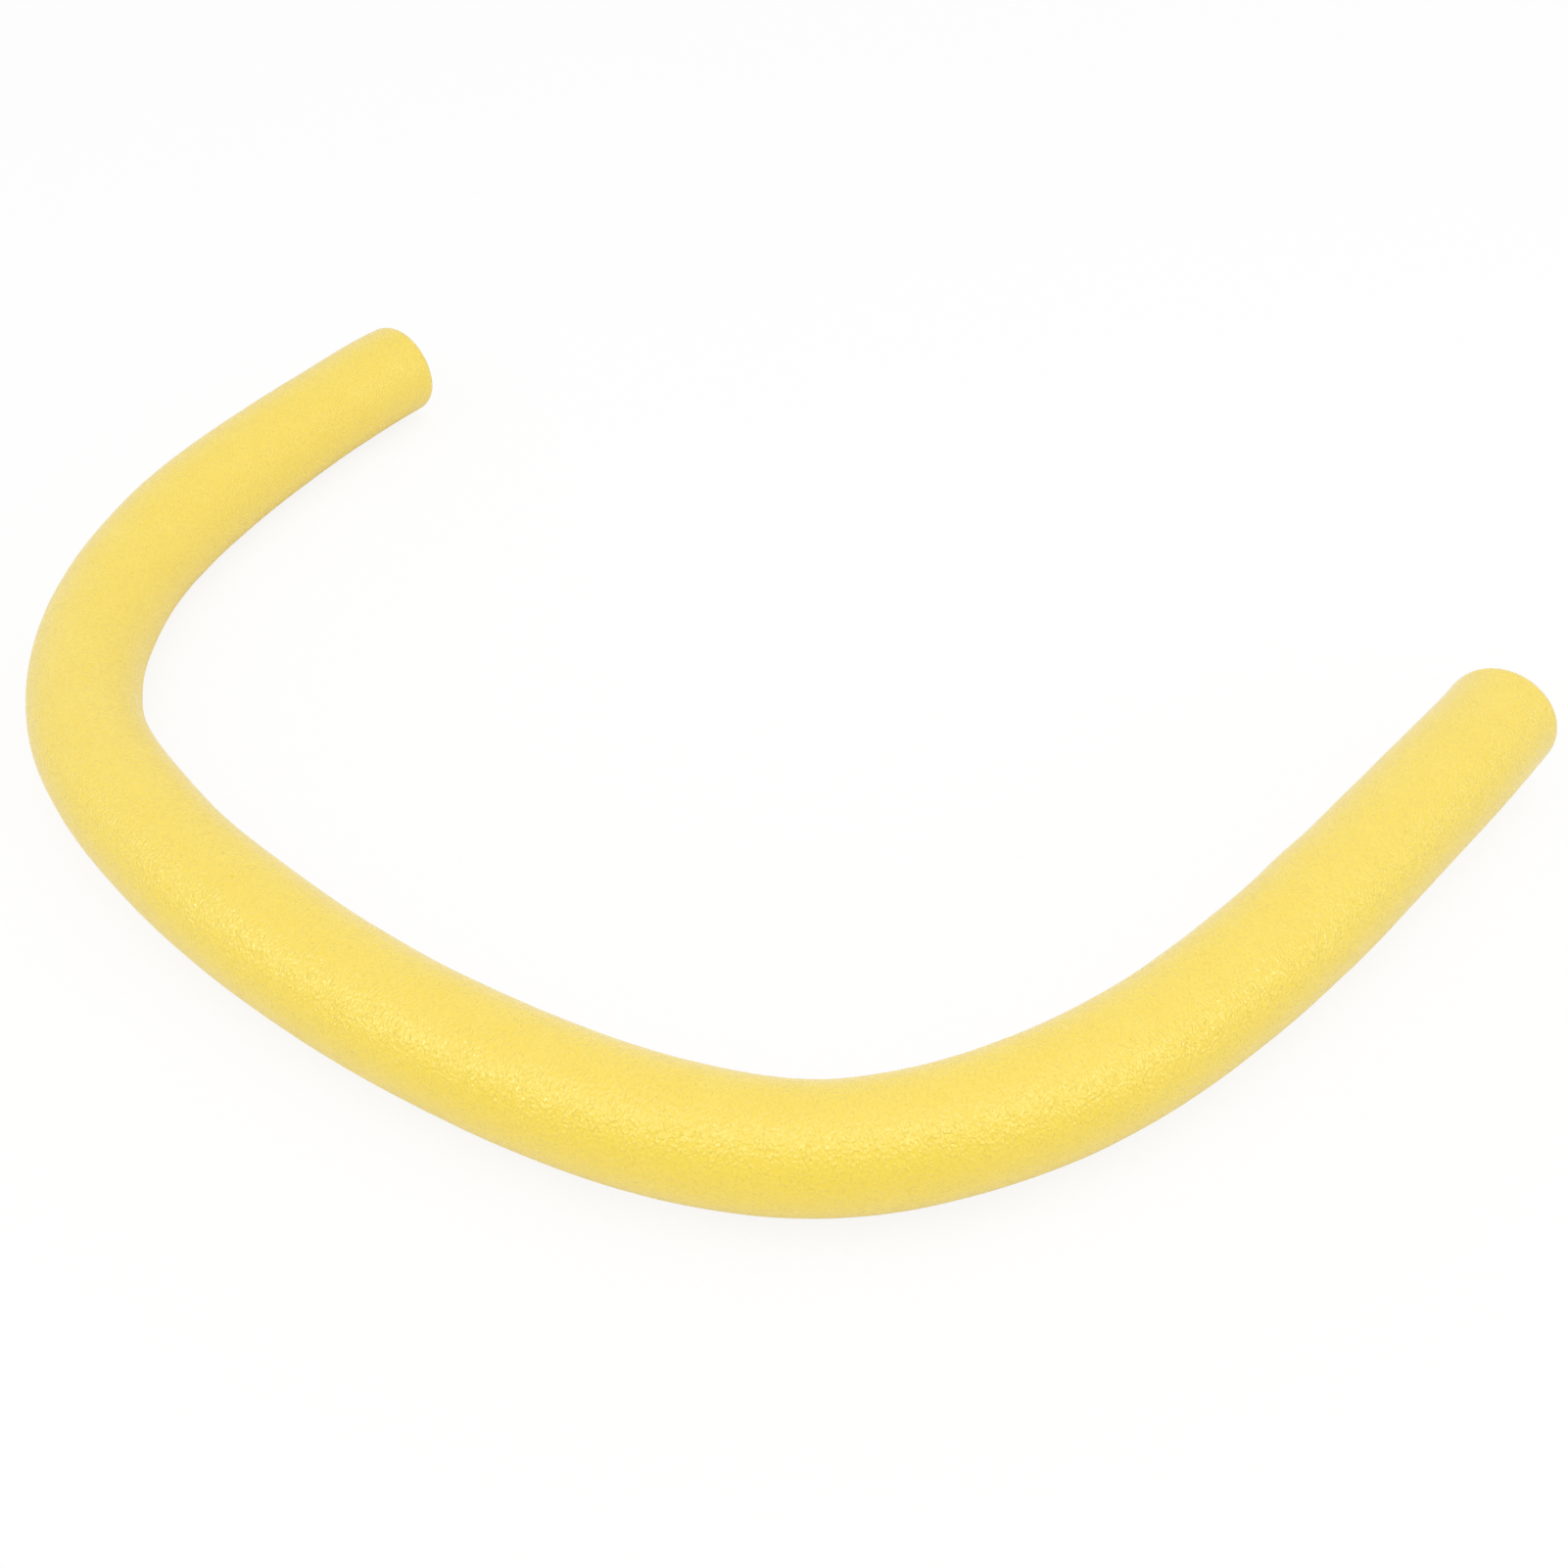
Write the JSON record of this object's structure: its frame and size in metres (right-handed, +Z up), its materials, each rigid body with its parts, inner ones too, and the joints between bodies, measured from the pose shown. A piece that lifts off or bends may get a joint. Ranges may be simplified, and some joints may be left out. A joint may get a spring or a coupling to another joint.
{
  "type": "pool noodle",
  "caption": "Long round foam swimming noodle lying in an open U, cut into short lengths that bend sideways, lift and twist.",
  "frame": {"origin": "on the surface that the noodle lies on, under the middle of its plan outline", "axes": "+Z up; +Y away from the open side's viewer, so that both ends point towards +Y; +X from end A on the left to end B on the right, along the longest extent"},
  "size_m": [0.9458, 0.8202, 0.07],
  "materials": {
    "foam": "yellow closed-cell polyethylene foam with a fine-grained satin skin"
  },
  "bodies": {
    "length_01": {"foam_length_01": "foam"},
    "length_02": {"foam_length_02": "foam"},
    "length_03": {"foam_length_03": "foam"},
    "length_04": {"foam_length_04": "foam"},
    "length_05": {"foam_length_05": "foam"},
    "length_06": {"foam_length_06": "foam"},
    "length_07": {"foam_length_07": "foam"},
    "length_08": {"foam_length_08": "foam"},
    "length_09": {"foam_length_09": "foam"},
    "length_10": {"foam_length_10": "foam"},
    "length_11": {"foam_length_11": "foam"},
    "length_12": {"foam_length_12": "foam"},
    "length_13": {"foam_length_13": "foam"},
    "length_14": {"foam_length_14": "foam"},
    "length_15": {"foam_length_15": "foam"},
    "length_16": {"foam_length_16": "foam"},
    "length_17": {"foam_length_17": "foam"},
    "length_18": {"foam_length_18": "foam"},
    "length_19": {"foam_length_19": "foam"},
    "length_20": {"foam_length_20": "foam"}
  },
  "joints": [
    {"name": "bend_01", "type": "hinge", "parent": "length_02", "child": "length_01", "pos_m": [-0.32972, 0.32538, 0.035], "axis": [0.001, 0.0014, -1], "range_deg": [-19.4, 9], "stiffness_Nm_per_rad": 5},
    {"name": "lift_02", "type": "hinge", "parent": "length_03", "child": "length_02", "pos_m": [-0.37264, 0.2579, 0.035], "axis": [0.8675, -0.4975, 0], "range_deg": [0, 25], "stiffness_Nm_per_rad": 5},
    {"name": "bend_03", "type": "hinge", "parent": "length_04", "child": "length_03", "pos_m": [-0.40844, 0.18641, 0.035], "axis": [0.0007, 0.0016, -1], "range_deg": [-23.9, 9], "stiffness_Nm_per_rad": 5},
    {"name": "bend_04", "type": "hinge", "parent": "length_05", "child": "length_04", "pos_m": [-0.43263, 0.11029, 0.035], "axis": [0.0003, 0.0017, -1], "range_deg": [-26.2, 9], "stiffness_Nm_per_rad": 5},
    {"name": "bend_05", "type": "hinge", "parent": "length_06", "child": "length_05", "pos_m": [-0.43746, 0.03072, 0.035], "axis": [-0.0002, 0.0017, -1], "range_deg": [-29.9, 9], "stiffness_Nm_per_rad": 5},
    {"name": "bend_06", "type": "hinge", "parent": "length_07", "child": "length_06", "pos_m": [-0.41795, -0.04653, 0.035], "axis": [-0.0007, 0.0016, -1], "range_deg": [-27.8, 9], "stiffness_Nm_per_rad": 5},
    {"name": "bend_07", "type": "hinge", "parent": "length_08", "child": "length_07", "pos_m": [-0.37815, -0.11573, 0.035], "axis": [-0.001, 0.0014, -1], "range_deg": [-26, 9], "stiffness_Nm_per_rad": 5},
    {"name": "lift_08", "type": "hinge", "parent": "length_09", "child": "length_08", "pos_m": [-0.32629, -0.17656, 0.035], "axis": [0.7173, 0.6968, 0], "range_deg": [0, 25], "stiffness_Nm_per_rad": 5},
    {"name": "bend_09", "type": "hinge", "parent": "length_10", "child": "length_09", "pos_m": [-0.26778, -0.23107, 0.035], "axis": [-0.0013, 0.0011, -1], "range_deg": [-24.9, 9], "stiffness_Nm_per_rad": 5},
    {"name": "twist_10", "type": "hinge", "parent": "length_10", "child": "length_11", "pos_m": [-0.20469, -0.28021, 0.035], "axis": [0.8142, -0.5805, 0], "range_deg": [0, 25], "stiffness_Nm_per_rad": 5},
    {"name": "lift_11", "type": "hinge", "parent": "length_11", "child": "length_12", "pos_m": [-0.13747, -0.32353, 0.035], "axis": [-0.4966, -0.868, 0], "range_deg": [0, 25], "stiffness_Nm_per_rad": 5},
    {"name": "bend_12", "type": "hinge", "parent": "length_12", "child": "length_13", "pos_m": [-0.06532, -0.35788, 0.035], "axis": [0.0016, -0.0006, 1], "range_deg": [-32.2, 9], "stiffness_Nm_per_rad": 5},
    {"name": "bend_13", "type": "hinge", "parent": "length_13", "child": "length_14", "pos_m": [0.01257, -0.37482, 0.035], "axis": [0.0017, -0.0001, 1], "range_deg": [-31.5, 9], "stiffness_Nm_per_rad": 5},
    {"name": "bend_14", "type": "hinge", "parent": "length_14", "child": "length_15", "pos_m": [0.09156, -0.36519, 0.035], "axis": [0.0017, 0.0005, 1], "range_deg": [-30.4, 9], "stiffness_Nm_per_rad": 5},
    {"name": "bend_15", "type": "hinge", "parent": "length_15", "child": "length_16", "pos_m": [0.16379, -0.33135, 0.035], "axis": [0.0015, 0.0009, 1], "range_deg": [-23.3, 9], "stiffness_Nm_per_rad": 5},
    {"name": "bend_16", "type": "hinge", "parent": "length_16", "child": "length_17", "pos_m": [0.22802, -0.28377, 0.035], "axis": [0.0013, 0.0011, 1], "range_deg": [-20.5, 9], "stiffness_Nm_per_rad": 5},
    {"name": "lift_17", "type": "hinge", "parent": "length_17", "child": "length_18", "pos_m": [0.28657, -0.22929, 0.035], "axis": [0.7107, -0.7035, 0], "range_deg": [0, 25], "stiffness_Nm_per_rad": 5},
    {"name": "bend_18", "type": "hinge", "parent": "length_18", "child": "length_19", "pos_m": [0.3413, -0.17095, 0.035], "axis": [0.0012, 0.0013, 1], "range_deg": [-14.6, 9], "stiffness_Nm_per_rad": 5},
    {"name": "bend_19", "type": "hinge", "parent": "length_19", "child": "length_20", "pos_m": [0.39485, -0.11151, 0.035], "axis": [0.0012, 0.0013, 1], "range_deg": [-13.3, 9], "stiffness_Nm_per_rad": 5}
  ]
}
